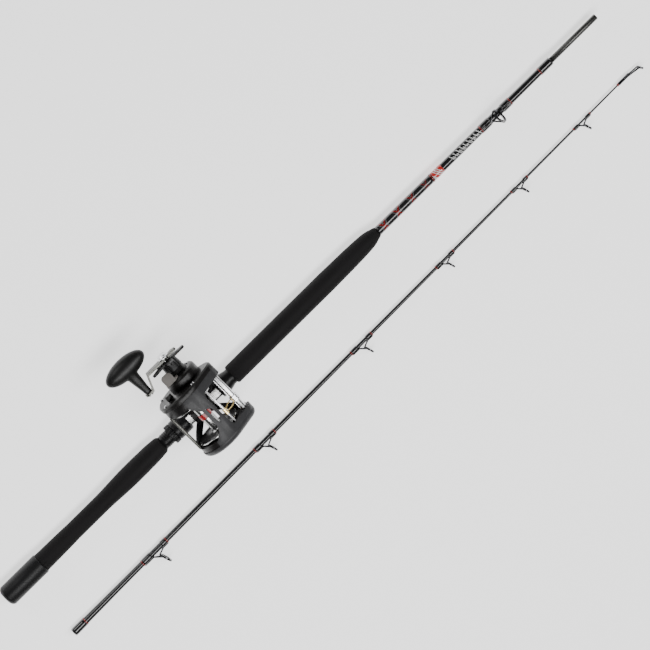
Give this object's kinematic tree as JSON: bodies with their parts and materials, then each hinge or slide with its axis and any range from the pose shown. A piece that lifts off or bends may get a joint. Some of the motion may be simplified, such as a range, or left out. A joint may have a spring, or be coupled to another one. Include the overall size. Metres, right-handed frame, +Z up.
{
  "type": "fishing rod and reel",
  "caption": "Two-piece boat fishing rod laid apart beside its tip section, with a left-hand star-drag level-wind reel clamped on the foam-gripped butt.",
  "frame": {"origin": "middle of the base of the whole object's box, on the surface that it lies on", "axes": "+X along the butt section from its cap to its spigot, +Y toward the reel's handle side, +Z up through the reel"},
  "size_m": [1.1248, 0.2648, 0.1082],
  "materials": {
    "grip_foam": "matt closed-cell foam",
    "butt_rubber": "satin rubber",
    "gloss_blank": "glossy lacquered glass-fibre tube",
    "spigot_graphite": "ground bare fibre",
    "thread_wrap": "thread under clear resin",
    "trim_thread": "metallic red thread under resin",
    "decor_wrap": "patterned thread under resin",
    "guide_frame": "black plated wire and strip",
    "guide_ceramic": "polished dark ceramic",
    "seat_black": "moulded, satin",
    "frame_graphite": "moulded graphite grey, satin",
    "frame_black": "moulded black, satin",
    "housing_black": "moulded black, semi gloss",
    "chrome": "bright",
    "steel": "machined",
    "gunmetal": "satin warm grey",
    "lever_grey": "satin warm grey",
    "gold_wire": "bright",
    "brass": "cut gear brass",
    "spool_metal": "anodised, dark flanges",
    "red_mark": "bright red",
    "drag_fibre": "pressed fibre",
    "knob_black": "soft satin",
    "spring_steel": "wire"
  },
  "bodies": {
    "root": {"butt_blank": "gloss_blank", "butt_cap": "butt_rubber", "butt_thread_wraps": "thread_wrap", "butt_trim_bands": "trim_thread", "decorative_wraps": "decor_wrap", "ferrule_spigot": "spigot_graphite", "fixed_hood": "seat_black", "fore_grip": "grip_foam", "rear_grip": "grip_foam", "reel_seat": "seat_black", "stripper_guide_frame": "guide_frame", "stripper_guide_ring": "guide_ceramic", "reel_foot": "steel", "reel_stand": "frame_black", "rear_pillar": "gunmetal", "guide_rod": "chrome", "level_wind_tube": "chrome", "handle_side_ring": "housing_black", "palm_side_ring": "housing_black", "top_cover": "frame_graphite", "handle_side_plate": "housing_black", "gear_cover": "housing_black", "one_way_bearing": "steel", "palm_side_plate": "frame_graphite", "spool_bearings": "steel", "side_plate_screws": "chrome", "gear_side_posts": "steel", "yoke_springs": "spring_steel"},
    "tip_section": {"tip_blank": "gloss_blank", "tip_guide_1_frame": "guide_frame", "tip_guide_2_frame": "guide_frame", "tip_guide_3_frame": "guide_frame", "tip_guide_4_frame": "guide_frame", "tip_guide_5_frame": "guide_frame", "tip_guide_6_frame": "guide_frame", "tip_guide_rings": "guide_ceramic", "tip_thread_wraps": "thread_wrap", "tip_top_frame": "guide_frame", "tip_trim_bands": "trim_thread"},
    "hood": {"sliding_hood": "seat_black"},
    "lock_nut": {"seat_lock_nut": "seat_black"},
    "handle": {"drive_shaft": "steel", "main_gear": "brass", "drag_washers": "drag_fibre", "handle_arm": "gunmetal", "handle_nut": "chrome", "knob_pin": "steel"},
    "knob": {"handle_knob": "knob_black"},
    "star": {"star_drag": "frame_black"},
    "spool": {"spool": "spool_metal", "line_pin": "red_mark"},
    "idler": {"level_wind_idler_gear": "brass"},
    "worm": {"worm_shaft": "steel"},
    "line_guide": {"line_guide": "gold_wire", "level_wind_pawl": "brass"},
    "yoke": {"clutch_yoke": "brass"},
    "pinion": {"pinion_gear": "brass"},
    "lever": {"free_spool_lever": "lever_grey"},
    "thumb": {"thumb_screw": "housing_black"},
    "clicker": {"clicker_button": "housing_black"}
  },
  "joints": [
    {"name": "tip_section_lift", "type": "slide", "parent": "root", "child": "tip_section", "axis": [0, 0, 1], "range_m": [0, 0.3]},
    {"name": "hood_slide", "type": "slide", "parent": "root", "child": "hood", "axis": [-1, 0, 0], "range_m": [0, 0.011]},
    {"name": "lock_nut_turn", "type": "hinge", "parent": "hood", "child": "lock_nut", "pos_m": [-0.24889, -0.00358, 0.01525], "axis": [-1, 0, 0], "range_deg": [0, 1322]},
    {"name": "handle_turn", "type": "hinge", "parent": "root", "child": "handle", "pos_m": [-0.17831, 0.08842, 0.05874], "axis": [0, 1, 0], "continuous": true},
    {"name": "knob_spin", "type": "hinge", "parent": "handle", "child": "knob", "pos_m": [-0.22491, 0.08842, 0.05874], "axis": [0, 1, 0], "continuous": true},
    {"name": "star_drag_turn", "type": "hinge", "parent": "handle", "child": "star", "pos_m": [-0.17831, 0.08842, 0.05874], "axis": [0, 1, 0], "range_deg": [-180, 180]},
    {"name": "spool_spin", "type": "hinge", "parent": "root", "child": "spool", "pos_m": [-0.19239, -0.00358, 0.06975], "axis": [0, 1, 0], "continuous": true},
    {"name": "level_wind_idler_spin", "type": "hinge", "parent": "root", "child": "idler", "pos_m": [-0.16452, -0.00358, 0.07358], "axis": [0, 1, 0], "continuous": true},
    {"name": "worm_spin", "type": "hinge", "parent": "root", "child": "worm", "pos_m": [-0.14869, -0.00358, 0.07725], "axis": [0, 1, 0], "continuous": true},
    {"name": "line_guide_travel", "type": "slide", "parent": "root", "child": "line_guide", "axis": [0, 1, 0], "range_m": [-0.01, 0.031]},
    {"name": "free_spool_lever_turn", "type": "hinge", "parent": "root", "child": "lever", "pos_m": [-0.18539, 0.06342, 0.07775], "axis": [0, 1, 0], "range_deg": [0, 30.1]},
    {"name": "clutch_yoke_lift", "type": "slide", "parent": "root", "child": "yoke", "axis": [0, 1, 0], "range_m": [0, 0.002], "deforming": ["yoke_springs"]},
    {"name": "pinion_spin", "type": "hinge", "parent": "yoke", "child": "pinion", "pos_m": [-0.19239, -0.00358, 0.06975], "axis": [0, 1, 0], "continuous": true},
    {"name": "thumb_screw_turn", "type": "hinge", "parent": "root", "child": "thumb", "pos_m": [-0.20989, 0.04842, 0.08125], "axis": [0, 1, 0], "range_deg": [0, 720]},
    {"name": "clicker_slide", "type": "slide", "parent": "root", "child": "clicker", "axis": [1, 0, 0], "range_m": [0, 0.006]}
  ],
  "couplings": [
    {"joint": "lock_nut_turn", "follows": "hood_slide", "rad_per_m": 2094.4},
    {"joint": "spool_spin", "follows": "handle_turn", "ratio": -4.9091},
    {"joint": "pinion_spin", "follows": "handle_turn", "ratio": -4.9091},
    {"joint": "level_wind_idler_spin", "follows": "handle_turn", "ratio": -0.65306},
    {"joint": "worm_spin", "follows": "handle_turn", "ratio": 2},
    {"joint": "free_spool_lever_turn", "follows": "clutch_yoke_lift", "rad_per_m": 261.8}
  ]
}
